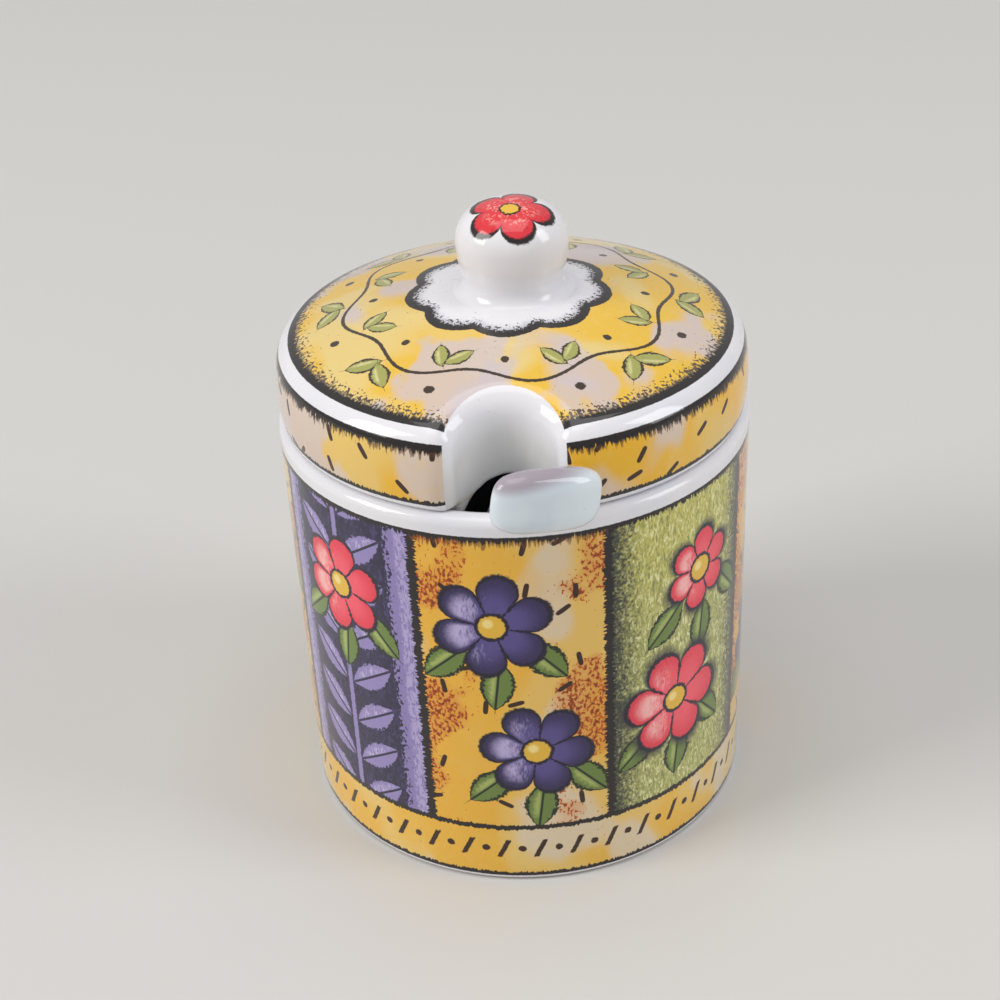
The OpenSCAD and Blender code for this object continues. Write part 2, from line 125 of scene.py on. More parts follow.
class Field:
    """A number that varies over a surface. Arithmetic on fields adds Math nodes to their material."""

    def __init__(self, tree, socket):
        self.tree, self.socket = tree, socket

    def __add__(self, other): return work("ADD", self, other)
    def __radd__(self, other): return work("ADD", other, self)
    def __sub__(self, other): return work("SUBTRACT", self, other)
    def __rsub__(self, other): return work("SUBTRACT", other, self)
    def __mul__(self, other): return work("MULTIPLY", self, other)
    def __rmul__(self, other): return work("MULTIPLY", other, self)
    def __truediv__(self, other): return work("DIVIDE", self, other)
    def __neg__(self): return work("MULTIPLY", self, -1.0)
    def __abs__(self): return work("ABSOLUTE", self)
    def __pow__(self, other): return work("POWER", self, other)


def work(operation, *values):
    """Adds one Math node. At least one of the values is a field."""
    tree = next(value.tree for value in values if isinstance(value, Field))
    node = tree.nodes.new("ShaderNodeMath")
    node.operation = operation
    for place, value in enumerate(values):
        plug(tree, value, node.inputs[place])
    return Field(tree, node.outputs[0])


def plug(tree, value, socket):
    """Links a field to a socket, or sets the socket to a plain number or colour."""
    if isinstance(value, Field):
        tree.links.new(value.socket, socket)
    else:
        socket.default_value = value


def ramp(value, low, high):
    """Rises smoothly from 0 where value is low to 1 where it is high."""
    node = value.tree.nodes.new("ShaderNodeMapRange")
    node.interpolation_type = "SMOOTHSTEP"
    for name, number in (("Value", value), ("From Min", low), ("From Max", high)):
        plug(value.tree, number, node.inputs[name])
    return Field(value.tree, node.outputs["Result"])


def between(value, low, high, blur):
    """1 where value lies between low and high, with soft edges."""
    return ramp(value, low - blur, low + blur) * ramp(value, high + blur, high - blur)


def larger(a, b): return work("MAXIMUM", a, b)
def reach(a, b): return work("SQRT", a * a + b * b)


def vector(x, y):
    """A flat vector made of two fields, for a texture to read."""
    node = x.tree.nodes.new("ShaderNodeCombineXYZ")
    plug(x.tree, x, node.inputs["X"])
    plug(x.tree, y, node.inputs["Y"])
    return Field(x.tree, node.outputs[0])


def stretched(place, factors):
    """The place with each axis multiplied, so that a texture that reads it is squeezed or drawn out."""
    node = place.tree.nodes.new("ShaderNodeMapping")
    node.inputs["Scale"].default_value = factors
    place.tree.links.new(place.socket, node.inputs["Vector"])
    return Field(place.tree, node.outputs["Vector"])


def clouds(place, scale, detail=2.0, twist=0.0):
    """Cloudy noise of about 0.5 on average, whose lumps are 1 / scale millimetres across."""
    node = place.tree.nodes.new("ShaderNodeTexNoise")
    node.inputs["Scale"].default_value = scale
    node.inputs["Detail"].default_value = detail
    node.inputs["Distortion"].default_value = twist
    place.tree.links.new(place.socket, node.inputs["Vector"])
    return Field(place.tree, node.outputs["Fac"])


def ragged(place):
    """Fine noise round 0, which makes the edge of a brush stroke uneven."""
    return clouds(place, 1.7, 3.0) - 0.5


def bristles(place):
    """Noise round 0 for a place that is stretched along a stroke: the marks of the hairs of a brush."""
    return clouds(place, 1.0, 3.0) - 0.5


def ink(code):
    """A glaze colour written as six hexadecimal digits, in Blender's linear numbers."""
    levels = [int(code[i:i + 2], 16) / 255 for i in (0, 2, 4)]
    return tuple(c / 12.92 if c <= 0.04045 else ((c + 0.055) / 1.055) ** 2.4 for c in levels) + (1.0,)


def lay(below, colour, cover):
    """Lays a colour over what is below it, where cover is 1."""
    node = cover.tree.nodes.new("ShaderNodeMix")
    node.data_type = "RGBA"
    cover.tree.links.new(cover.socket, node.inputs["Factor"])
    for name, value in (("A", below), ("B", colour)):
        socket = next(s for s in node.inputs if s.name == name and s.type == "RGBA")
        plug(cover.tree, ink(value) if isinstance(value, str) else value, socket)
    return Field(cover.tree, next(s for s in node.outputs if s.type == "RGBA"))


def new_glaze(name):
    """A new material with its shader, and the place on the piece in millimetres, whole and as x, y and z."""
    material = bpy.data.materials.new(name)
    material.use_nodes = True
    tree = material.node_tree
    source = tree.nodes.new("ShaderNodeTexCoord")
    place = stretched(Field(tree, source.outputs["Object"]), (1000, 1000, 1000))
    split = tree.nodes.new("ShaderNodeSeparateXYZ")
    tree.links.new(place.socket, split.inputs[0])
    return material, place, [Field(tree, split.outputs[i]) for i in range(3)]


def fire(material, place, colour, bare=None):
    """Finishes a glaze: a glossy coat with the faint waves of a fired surface, left off where the clay is bare."""
    tree = material.node_tree
    shader = tree.nodes["Principled BSDF"]
    tree.links.new(colour.socket, shader.inputs["Base Color"])
    ripple = clouds(place, 0.45, 1.0)
    waves = clouds(place, 0.07, 1.0) * 3.0 + ripple
    rough = 0.2 + 0.1 * ripple
    coat, wave_height = 0.85, 0.02 * MM
    if bare is None:
        shader.inputs["Coat Weight"].default_value = coat
    else:
        grit = clouds(place, 3.0, 3.0)
        waves = waves + bare * grit * 6.0
        rough = rough + bare * 0.6
        tree.links.new((coat - coat * bare).socket, shader.inputs["Coat Weight"])
    tree.links.new(rough.socket, shader.inputs["Roughness"])
    shader.inputs["Coat Roughness"].default_value = 0.04
    shader.inputs["Coat IOR"].default_value = 1.45
    shader.inputs["Specular IOR Level"].default_value = 0.1
    bump = tree.nodes.new("ShaderNodeBump")
    bump.inputs["Distance"].default_value = wave_height
    tree.links.new(waves.socket, bump.inputs["Height"])
    tree.links.new(bump.outputs["Normal"], shader.inputs["Normal"])
    tree.links.new(bump.outputs["Normal"], shader.inputs["Coat Normal"])


def wash(place, deep, pale, cool, cool_from):
    """A watercolour ground: a deep colour that runs into a pale one and, here and there, a cool one."""
    upright = stretched(place, (1.2, 1.2, 0.8))
    ground = lay(ink(deep), pale, ramp(clouds(upright, 0.045, 1.5, 0.3), 0.46, 0.6))
    ground = lay(ground, cool, ramp(clouds(upright, 0.055, 1.5, 0.2), cool_from, cool_from + 0.1) * 0.85)
    return lay(ground, pale, ramp(clouds(place, 0.6, 3.0), 0.5, 0.8) * 0.35)


def iron_specks(place):
    """A few tiny specks that iron in the clay leaves in a pale glaze."""
    return ramp(clouds(place, 0.9, 2.0), 0.76, 0.79) * 0.5


def white_ground(place):
    """The white glaze, a little cooler where it lies thick."""
    ground = lay(ink("E9E7EB"), "DADDE7", ramp(clouds(place, 0.08, 1.0), 0.5, 0.7) * 0.35)
    return lay(ground, "A89D92", iron_specks(place))


def stipple(place, share):
    """Fine dry-brush flecks: the larger the share, the more of the ground they cover."""
    return ramp(clouds(place, 1.7, 4.0) + 0.3 * share, 0.70, 0.74)


def blossom(x, y, size, petals, rag):
    """A flower round (0, 0): a point's way out, 1 at the petals' edge, its place in a petal, and its distance."""
    out = reach(x, y)
    lobe = abs(work("COSINE", work("ARCTAN2", y, x) * (petals / 2)))
    return out / (size * (0.6 + 0.4 * lobe ** 0.55)) + rag, lobe, out


def leaf(x, y, cx, cy, length, width, angle, rag):
    """A pointed leaf: how far out a point is, where 1 is the edge, and how far it is from the middle vein."""
    dx, dy = x - cx, y - cy
    along = dx * cos(angle) + dy * sin(angle)
    across = dy * cos(angle) - dx * sin(angle)
    half = along / (length / 2)
    return larger(abs(across) / (width / 2 * larger(1.0 - half * half, 0.02)), abs(half)) + rag * 0.7, across


def scatter(x, y, cell, length, width, share, seam):
    """Short brush dashes that lie all ways, about one in each cell, up to the seam where x jumps back."""
    node = x.tree.nodes.new("ShaderNodeTexVoronoi")
    node.voronoi_dimensions = "2D"
    node.inputs["Scale"].default_value = 1 / cell
    node.inputs["Randomness"].default_value = 0.75
    x.tree.links.new(vector(x, y).socket, node.inputs["Vector"])
    middle, chance = [x.tree.nodes.new("ShaderNodeSeparateXYZ") for _ in range(2)]
    x.tree.links.new(node.outputs["Position"], middle.inputs[0])
    x.tree.links.new(node.outputs["Color"], chance.inputs[0])
    dx, dy = x - Field(x.tree, middle.outputs[0]), y - Field(x.tree, middle.outputs[1])
    lean = (Field(x.tree, chance.outputs[0]) - 0.5) * 2.6 + pi / 2
    along = dx * work("COSINE", lean) + dy * work("SINE", lean)
    across = dy * work("COSINE", lean) - dx * work("SINE", lean)
    stroke = ramp((abs(along) / (length / 2)) ** 4.0 + (abs(across) / (width / 2)) ** 3.0, 1.3, 0.7)
    kept = work("LESS_THAN", abs(Field(x.tree, middle.outputs[0])), seam - length / 2)
    return stroke * kept * work("LESS_THAN", Field(x.tree, chance.outputs[1]), share)


line_black, dash_brown, petal_black, leaf_black = "25201F", "3A2216", "221A2E", "26301F"
navy_ground, lavender, bare_clay = "2A2440", "9587BC", "D8C9B4"
hairs_up, hairs_round = (2.4, 2.4, 0.28), (0.4, 0.4, 2.6)

# Eight panels go round the pot. Kinds 0 and 2 are yellow and mirror each other, 1 is olive and 3 is navy
pot_glaze, place, (x, y, z) = new_glaze("painted_pot_glaze")
panels = 8
panel_w = 2 * pi * pot_r / panels
round_pot = work("ARCTAN2", x, -y) * pot_r
panel = work("FLOOR", round_pot / panel_w + 0.5)
across = round_pot - panel * panel_w
kind = work("FLOORED_MODULO", panel, 4.0)
olive = work("COMPARE", kind, 1.0, 0.5)
violet = work("COMPARE", kind, 3.0, 0.5)
yellow = larger(1.0 - olive - violet, 0.0)
flip = 1.0 - 2.0 * work("COMPARE", kind, 2.0, 0.5)
rag = ragged(place)
bristle_up = bristles(stretched(place, hairs_up))
bristle_side = bristles(stretched(place, hairs_round))

# The yellow ground, with rust speckle that gathers towards the borders of a panel
colour = wash(place, "EFB740", "ECC266", "E1CFB4", 0.57)
gather = ramp(clouds(place, 0.075, 2.0) + 0.012 * abs(across), 0.56, 0.72) * ramp(abs(across), 3.0, 10.0)
colour = lay(colour, "D98A35", ramp(gather, 0.3, 1.0) * 0.5)
brushed = stretched(place, (1.0, 1.0, 0.7))
colour = lay(colour, "C95E1A", stipple(brushed, 0.74 * gather))
colour = lay(colour, "8A3D12", stipple(brushed, 0.7 * gather - 0.22))

# The olive panels, brushed with fine light strokes
hatch = clouds(stretched(place, (1.2, 1.2, 0.45)), 1.3, 3.0, 1.2)
green = lay(ink("B0B068"), "CBC25C", ramp(z, 46.0, 76.0) * 0.7)
green = lay(green, "E4E3A8", ramp(hatch, 0.5, 0.66))
green = lay(green, "84875A", ramp(hatch, 0.48, 0.34) * 0.8)
green = lay(green, "40443C", ramp(abs(across) + 14.0 * rag, 10.5, 17.5))
colour = lay(colour, green, olive)

# The navy panels, with lavender laurel leaves on a stem and a lavender band down each side
laurel_pitch, band_w = 9.5, 11.9
navy = lay(ink(navy_ground), "463C68", ramp(hatch, 0.46, 0.7))
rung = work("FLOORED_MODULO", z, laurel_pitch) - laurel_pitch / 2
spray, vein = leaf(abs(across), rung, 6.0, 0.6, 12.5, 5.6, 0.6, rag)
navy = lay(navy, lavender, ramp(spray, 1.0, 0.9))
navy = lay(navy, "C3B8DC", ramp(spray, 0.85, 0.4) * ramp(hatch, 0.46, 0.6) * ramp(vein, -0.5, 0.8))
navy = lay(navy, navy_ground, ramp(abs(vein), 0.32, 0.18) * ramp(spray, 1.0, 0.9))
navy = lay(navy, lavender, ramp(abs(across) + rag * 0.6, 0.75, 0.5))
navy = lay(navy, "8E80B6", ramp(abs(across) + 1.6 * rag, band_w, band_w + 0.3))
navy = lay(navy, "B3A8D2", ramp(abs(across) + 1.2 * rag, 14.0, 14.9) * ramp(hatch, 0.4, 0.56))
band_flecks = stipple(brushed, ramp(abs(across), 14.6, 12.0) * 0.8)
navy = lay(navy, navy_ground, band_flecks * ramp(abs(across), band_w - 0.2, band_w + 0.2))
colour = lay(colour, navy, violet)

# Small dark dashes lie scattered over the yellow panels
panel_step = 100.0
dash_x = across + panel_step * work("FLOORED_MODULO", panel, float(panels))
dashes = scatter(dash_x, z, cell=8.4, length=3.2, width=1.0, share=0.85, seam=panel_step * panels)
colour = lay(colour, dash_brown, dashes * yellow)


# Two flowers and their leaves in each panel: dark blue on yellow, red on olive, and one in red on navy
def by_kind(on_yellow, on_olive, on_navy):
    """A number that differs with the kind of panel."""
    return on_yellow + (on_olive - on_yellow) * olive + (on_navy - on_yellow) * violet


warm = larger(olive, violet)
out_of_sight = 60.0
flowers = (
    (by_kind(-3.6, 3.4, 0.0), by_kind(61.0, 62.5, 62.0), by_kind(11.0, 8.6, 10.4), 0.35),
    (by_kind(3.6, -3.0, out_of_sight), by_kind(32.5, 36.0, 30.0), by_kind(10.6, 11.6, 9.0), 0.9),
)
for flower_x, flower_z, size, tilt in flowers:
    fx, fz = across * flip - flower_x, z - flower_z
    for leaf_x, leaf_z, lean in ((-9.0, -8.5, 0.75), (9.5, -7.5, 2.3), (0.5, -13.0, 1.45)):
        edge, vein = leaf(fx, fz, leaf_x, leaf_z, 11.5, 5.4, lean, rag)
        colour = lay(colour, leaf_black, ramp(edge, 1.28, 1.16))
        colour = lay(colour, "6E8440", ramp(edge, 0.98, 0.88))
        colour = lay(colour, "A9B667", ramp(edge, 0.8, 0.3) * ramp(vein, 0.0, 0.8))
        colour = lay(colour, leaf_black, ramp(abs(vein), 0.3, 0.16) * ramp(edge, 1.0, 0.9))
    cx, cz = fx * cos(tilt) + fz * sin(tilt), fz * cos(tilt) - fx * sin(tilt)
    edge, lobe, out = blossom(cx, cz, size, 6, rag * 0.1)
    colour = lay(colour, "35383A", ramp(edge, 1.3, 1.02) * olive * 0.85)
    colour = lay(colour, petal_black, ramp(edge, 1.07, 1.02))
    petal = lay(lay(ink("352C56"), "E93C50", warm), lay(ink("5A4F8C"), "F65A6A", warm), ramp(edge, 0.95, 0.45))
    colour = lay(colour, petal, ramp(edge, 0.97, 0.93))
    sheen = ramp(fx / size + 0.9 * (hatch - 0.5), -0.1, -0.6) * ramp(edge, 0.9, 0.6) * ramp(lobe, 0.2, 0.6)
    colour = lay(colour, lay(ink("BDB0DA"), "FFBDB8", warm), sheen)
    crease = ramp(lobe + 0.5 * rag, 0.2, 0.1) * ramp(edge, 1.0, 0.95) * ramp(out, 1.5, 3.0)
    colour = lay(colour, "1E1830", crease)
    colour = lay(colour, petal_black, ramp(out + rag, 3.3, 3.0))
    colour = lay(colour, "E9B93F", ramp(out + rag * 0.8, 2.6, 2.3))
    colour = lay(colour, "F7DF8C", ramp(reach(fx + 0.7, fz - 0.7), 1.3, 0.6))

# The border below the panels, with one row of slanted strokes and dots
border_z, row_z, stroke_gap = 13.6, 8.4, panel_w / 5
below = ramp(z + rag * 0.5, border_z + 0.1, border_z - 0.1)
border = wash(place, "EFBA44", "ECC976", "E0D1B8", 0.55)
border = lay(border, "C9671F", stipple(place, 0.0) * 0.8)
beat = work("FLOORED_MODULO", round_pot, stroke_gap) - stroke_gap / 2
above_row = z - row_z
stroke = ramp(abs(beat - above_row * 0.45) + rag * 0.4, 0.62, 0.46) * ramp(abs(above_row) + rag, 2.3, 2.0)
border = lay(border, dash_brown, stroke)
border = lay(border, dash_brown, ramp(reach(abs(beat) - stroke_gap / 2, above_row) + rag * 0.5, 0.85, 0.65))
colour = lay(colour, border, below)

# The dark brushed lines between the panels, over the border, and at the top and foot of the painted wall
top_line, base_line, paint_low, paint_high = 79.0, 2.15, 1.35, 79.9
to_next_panel = panel_w / 2 - abs(across)
colour = lay(colour, line_black, ramp(to_next_panel + 2.6 * bristle_side, 1.0, 0.8) * (1.0 - below))
colour = lay(colour, line_black, between(z + 1.6 * bristle_up, border_z - 0.4, border_z + 0.75, 0.1))
colour = lay(colour, "6B3F1E", ramp(z + 5.0 * bristle_up, top_line - 1.0, top_line - 0.5) * 0.7 * yellow)
colour = lay(colour, line_black, ramp(z + 3.0 * bristle_up, top_line - 0.25, top_line))
colour = lay(colour, line_black, ramp(z + 1.8 * bristle_up, base_line + 0.2, base_line))
from_axis = reach(x, y)
painted = between(z + 0.25 * rag, paint_low, paint_high, 0.08) * ramp(from_axis, pot_r - 2.0, pot_r - 1.5)
colour = lay(white_ground(place), colour, painted)
bare_foot = ramp(z, 0.35, 0.15) * ramp(from_axis, foot_in - 0.5, foot_in + 0.5)
colour = lay(colour, bare_clay, bare_foot)
fire(pot_glaze, place, colour, bare_foot)
pot.data.materials.append(pot_glaze)
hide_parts("pot")
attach(pot, "pot")

# THE LID
# The lid is a hollow cast cover of the same ware. A flange under it drops into the pot's mouth, and a scoop at
# the front, with a soft rolled lip and a wall behind it, lets the spoon stand in the pot while the lid is on.

lid_z, lid_r, lid_h, lid_wall = pot_h + 0.2, pot_r - 0.5, 23.4, 4.2
lid_belly_h, lid_belly_r, shoulder_r, dome_r = 6.3, 32.0, 5.0, 111.0
edge_r, inner_round = 1.3, 4.0
flange_r, flange_t, flange_drop = mouth_r - 0.7, 3.2, 6.8
notch_r, notch_reach, notch_wall, lip_back, lip_side = 9.3, 10.5, 4.0, 5.0, 3.9
arch_r, arch_h, arch_side = 9.6, 2.6, 0.9
notch_y = lid_r - notch_reach + notch_r
overrun, lip_lift = 1.5, 0.02

# The lid's outline is made of arcs that run into each other: dome, shoulder, bulging side and bearing edge
dome_z = lid_z + lid_h - dome_r
belly = Vector((lid_r - lid_belly_r, lid_z + lid_belly_h))
to_belly = belly - Vector((0, dome_z))
side_arm, dome_arm = lid_belly_r - shoulder_r, dome_r - shoulder_r
dome_end = degrees(atan2(to_belly.y, to_belly.x)
    - acos((to_belly.length ** 2 + dome_arm ** 2 - side_arm ** 2) / (2 * to_belly.length * dome_arm)))
shoulder = Vector((dome_arm * cos(radians(dome_end)), dome_z + dome_arm * sin(radians(dome_end))))
shoulder_end = degrees(atan2(shoulder.y - belly.y, shoulder.x - belly.x))
side_end = -degrees(asin((lid_belly_h - edge_r) / (lid_belly_r - edge_r)))
edge_centre = (belly.x + (lid_belly_r - edge_r) * cos(radians(side_end)), lid_z + edge_r)

# The flat seat at the crown is a little wider than the foot of the knob, which stands slightly off the middle
knob_r, knob_belly_h, neck_r, knob_foot_r, knob_off, knob_land = 10.35, 9.4, 22.0, 2.4, 1.0, 1.0
neck = Vector((knob_r - neck_r, knob_belly_h))
foot_x = neck.x + sqrt((neck_r + knob_foot_r) ** 2 - (knob_belly_h - knob_foot_r) ** 2)
knob_foot = Vector((foot_x, knob_foot_r))
seat_r = knob_foot.x + knob_off + knob_land
seat_z = dome_z + sqrt(dome_r ** 2 - seat_r ** 2)

lid_outside = ([(0, seat_z), (seat_r / 2, seat_z)]
    + arc((0, dome_z), dome_r, degrees(acos(seat_r / dome_r)), dome_end, 40)
    + arc(shoulder, shoulder_r, dome_end, shoulder_end, 16)
    + arc(belly, lid_belly_r, shoulder_end, side_end, 16)
    + arc(edge_centre, edge_r, side_end, -90, 8))
inner_r, inner_dome = lid_r - lid_wall, dome_r - lid_wall
corner_x = inner_r - inner_round
corner = (corner_x, dome_z + sqrt((inner_dome - inner_round) ** 2 - corner_x ** 2))
corner_end = degrees(atan2(corner[1] - dome_z, corner[0]))
flange_low = lid_z - flange_drop
lid_inside = ([(flange_r, lid_z)]
    + arc((flange_r - flange_t / 2, flange_low + flange_t / 2), flange_t / 2, 0, -180, 12)
    + [(flange_r - flange_t, lid_z), (inner_r, lid_z + inner_r - flange_r + flange_t)]
    + arc(corner, inner_round, 0, corner_end, 10)
    + arc((0, dome_z), inner_dome, corner_end, 90, 24))

# The space that the wall behind the notch fills: it ends inside the thickness of the cover and of the flange
middle_dome, middle_r, wall_r = dome_r - lid_wall / 2, lid_r - lid_wall / 2, flange_r - flange_t / 3
middle_end = degrees(acos((middle_r - inner_round) / middle_dome))
wall_low = flange_low + 0.04
wall_space = (arc((0, dome_z), middle_dome, 90, middle_end, 24)
    + [(middle_r, lid_z + lid_belly_h), (middle_r, lid_z + edge_r)]
    + [(wall_r, lid_z + edge_r), (wall_r, flange_low + flange_t / 4)]
    + [(flange_r - flange_t / 2, wall_low), (0, wall_low)])


def lip_radius(share):
    """The lip's radius from the back of the notch, where share is 0, to the bearing edge, where it is 1."""
    wide_to, slim_from = 0.1, 0.75
    slim = min(1, max(0, (share - wide_to) / (slim_from - wide_to)))
    return lip_back + (lip_side - lip_back) * (slim * slim * (3 - 2 * slim))


def lip_place(rho, height, out, up, r):
    """Where a ball of radius r touches the lid's surface and the notch's wall: its centre and both directions."""
    turn = acos(min(1, (rho ** 2 + notch_y ** 2 - (notch_r + r) ** 2) / (2 * rho * notch_y)))
    centre = Vector((rho * sin(turn), -rho * cos(turn), height))
    to_wall = Vector((-centre.x, -notch_y - centre.y, 0)).normalized()
    return centre, Vector((out * sin(turn), -out * cos(turn), up)), to_wall, r


def lip_places():
    """Places of the ball along half of the lip, from the back of the notch down to the bearing edge."""
    dome_share, dome_rows, side_rows, rows = 0.55, 28, 32, []
    r = lip_radius(dome_share)
    edge_rho = shoulder.x + (shoulder_r - r) * cos(radians(dome_end))
    last = acos((notch_y ** 2 + (notch_r + r) ** 2 - edge_rho ** 2) / (2 * notch_y * (notch_r + r)))
    for i in range(dome_rows):
        angle, r = last * i / dome_rows, lip_radius(dome_share * i / dome_rows)
        rho = hypot((notch_r + r) * sin(angle), notch_y - (notch_r + r) * cos(angle))
        out = rho / (dome_r - r)
        rows.append(lip_place(rho, dome_z + sqrt((dome_r - r) ** 2 - rho ** 2), out, sqrt(1 - out ** 2), r))
    for i in range(side_rows + 1):
        share = i / side_rows
        angle = radians(dome_end + (side_end - dome_end) * share)
        r = lip_radius(dome_share + (1 - dome_share) * share)
        if degrees(angle) > shoulder_end:
            middle, arm = shoulder, shoulder_r - r
        else:
            middle, arm = belly, lid_belly_r - r
        rho, height = middle.x + arm * cos(angle), middle.y + arm * sin(angle)
        rows.append(lip_place(rho, height, cos(angle), sin(angle), r))
    return rows


def lip_outline(centre, to_lid, to_wall, r, steps=14):
    """The section of the cutter that rolls the lip: outside the ball, between the surfaces that it touches."""
    angle = to_lid.angle(to_wall)
    points = [to_lid * (r + overrun), to_lid * (r + lip_lift)]
    for i in range(1, steps):
        a = angle * i / steps
        points.append((to_lid * sin(angle - a) + to_wall * sin(a)) * (r / sin(angle)))
    points += [to_wall * (r + lip_lift), to_wall * (r + overrun), (to_lid + to_wall) * (r + overrun)]
    return [centre + point for point in points]


def shape(name, points, faces):
    """A closed cutter from its corners, in millimetres, and its faces."""
    mesh = bpy.data.meshes.new(name)
    mesh.from_pydata([point * MM for point in points], [], faces)
    mesh.validate()
    piece = bpy.data.objects.new(name, mesh)
    bpy.context.collection.objects.link(piece)
    deselect()
    bpy.context.view_layer.objects.active = piece
    piece.select_set(True)
    bpy.ops.object.mode_set(mode="EDIT")
    bpy.ops.mesh.select_all(action="SELECT")
    bpy.ops.mesh.quads_convert_to_tris(quad_method="FIXED")
    bpy.ops.mesh.normals_make_consistent(inside=False)
    bpy.ops.object.mode_set(mode="OBJECT")
    return piece


def loft(name, rows):
    """A closed cutter through rows of corners, each with as many corners as the others."""
    n, last = len(rows[0]), (len(rows) - 1) * len(rows[0])
    sides = [[s + i, s + (i + 1) % n, s + n + (i + 1) % n, s + n + i] for s in range(0, last, n) for i in range(n)]
    return shape(name, [point for row in rows for point in row],
        [list(range(n))[::-1], [last + i for i in range(n)]] + sides)


def mirrored(row):
    return [Vector((-point.x, point.y, point.z)) for point in row]


half = [lip_outline(*row) for row in lip_places()]
below_lid = [point - Vector((0, 0, edge_r + overrun)) for point in half[-1]]
lip_cutter = loft("lip_cutter",
    [mirrored(below_lid)] + [mirrored(row) for row in half[:0:-1]] + half + [below_lid])


def upright(u, v, run):
    """Sets an outline round the notch's axis, to run upwards."""
    return u, v - notch_y, run


def lengthwise(u, v, run):
    """Stands an outline up facing the front, to run backwards."""
    return u, run, v


def prism(name, outline, low, high, stand):
    """A straight block from an outline, where stand turns a point of it and a distance into a corner."""
    return loft(name, [[Vector(stand(u, v, run)) for u, v in outline] for run in (low, high)])


def combine(piece, tool, operation):
    """Joins a tool to a piece or cuts the piece with it, and throws the tool away."""
    deselect()
    bpy.context.view_layer.objects.active = piece
    piece.select_set(True)
    change = piece.modifiers.new("change", "BOOLEAN")
    change.operation, change.object, change.solver = operation, tool, "MANIFOLD"
    bpy.ops.object.modifier_apply(modifier=change.name)
    bpy.data.objects.remove(tool, do_unlink=True)


deselect()
lid = draw_outline("notched_lid", lid_outside + lid_inside)
turn_outline(256, smooth=False)
deselect()
cap = draw_outline("cap", wall_space)
turn_outline(256, smooth=False)
lid_top = lid_z + lid_h
round_wall = arc((0, 0), notch_r + notch_wall, 0, 357, 119)
block = prism("notch_wall", round_wall, flange_low - 1, lid_top, upright)
combine(block, cap, "INTERSECT")
combine(lid, block, "UNION")
scoop = arc((0, 0), notch_r, 0, 180, 80) + [(-notch_r, -notch_r), (notch_r, -notch_r)]
combine(lid, prism("scoop", scoop, flange_low - overrun, lid_top + overrun, upright), "DIFFERENCE")
arch_z = lid_z + arch_h - arch_r
arch_feet = [(arch_side + side * arch_r, arch_z - flange_drop) for side in (-1, 1)]
arch = arc((arch_side, arch_z), arch_r, 0, 180, 80) + arch_feet
arch_back = notch_reach + notch_wall + overrun - lid_r
combine(lid, prism("arch", arch, -lid_r, arch_back, lengthwise), "DIFFERENCE")
combine(lid, lip_cutter, "DIFFERENCE")


def round_off(piece, voxel, passes):
    """Remakes a piece as one closed skin of small even faces, and softens it as the glaze does."""
    deselect()
    bpy.context.view_layer.objects.active = piece
    piece.select_set(True)
    piece.data.remesh_voxel_size = voxel * MM
    piece.data.remesh_voxel_adaptivity = 0
    bpy.ops.object.voxel_remesh()
    smooth = piece.modifiers.new("soften", "SMOOTH")
    smooth.factor, smooth.iterations = 0.5, passes
    bpy.ops.object.modifier_apply(modifier=smooth.name)
    bpy.ops.object.shade_smooth()


round_off(lid, 0.58, 5)

lid_glaze, place, (x, y, z) = new_glaze("painted_lid_glaze")
rag = ragged(place)
from_axis = reach(x, y)
turn = work("ARCTAN2", x, -y)
bristle_up = bristles(stretched(place, hairs_up))
bristle_out = bristles(vector(turn * 75.0, from_axis * 0.3))

# The top: a watercolour ground with a wreath of leaves on a wavy stem, round a white scalloped middle. The two
# leaves that the notch would cut are left out
stem_brown, wreath_r, sprays = "43382F", 29.5, 16
top = wash(place, "ECBF45", "E8CC82", "D0C3C6", 0.515)
drift = clouds(place, 0.13, 2.0) * 16.0 - 8.0
for patch_x, patch_y, patch_r in ((-8, -29, 11), (12, -30, 8), (17, 21, 10)):
    top = lay(top, "CFC2C6", ramp(reach(x - patch_x, y - patch_y) + drift, patch_r, patch_r - 2.5) * 0.75)
stem = from_axis - wreath_r - 1.5 * work("SINE", turn * (sprays / 2))
top = lay(top, stem_brown, ramp(abs(stem) + rag * 0.4, 0.42, 0.28))
spray = work("FLOOR", turn * (sprays / (2 * pi)) + 0.5)
left_out = work("COMPARE", spray, 0.0, 0.5)
along = (turn - spray * (2 * pi / sprays)) * wreath_r
out_or_in = 1.0 - 2.0 * work("FLOORED_MODULO", spray, 2.0)
outwards = (from_axis - wreath_r) * out_or_in
for leaf_x, leaf_y, lean in ((-1.8, 3.9, 2.2), (2.2, 4.2, 0.7)):
    edge, vein = leaf(along, outwards, leaf_x, leaf_y, 6.6, 2.9, lean, rag)
    edge = edge + 9.0 * left_out
    top = lay(top, stem_brown, ramp(edge, 1.3, 1.15))
    top = lay(top, "A8A860", ramp(edge, 0.95, 0.8))
    top = lay(top, "D8CF94", ramp(edge, 0.8, 0.3) * ramp(vein, 0.0, 0.5))
top = lay(top, stem_brown, ramp(reach(along, outwards + 4.3) + rag * 0.5, 0.95, 0.75))
white_r, scallops, scallop_depth = 16.6, 9, 1.9
inside = from_axis - (white_r + scallop_depth * abs(work("COSINE", turn * (scallops / 2))))
in_middle = ramp(inside, 0.1, -0.1)
plain_white = white_ground(place)
top = lay(top, plain_white, in_middle)
hatched = stretched(place, (1.0, 1.0, 1.4))
top = lay(top, "9A9CA8", ramp(inside + 4.0 * bristle_out, -3.2, -1.0) * in_middle * 0.55)
top = lay(top, "3A3638", stipple(hatched, ramp(inside, -4.2, -0.6) * 0.75) * in_middle)
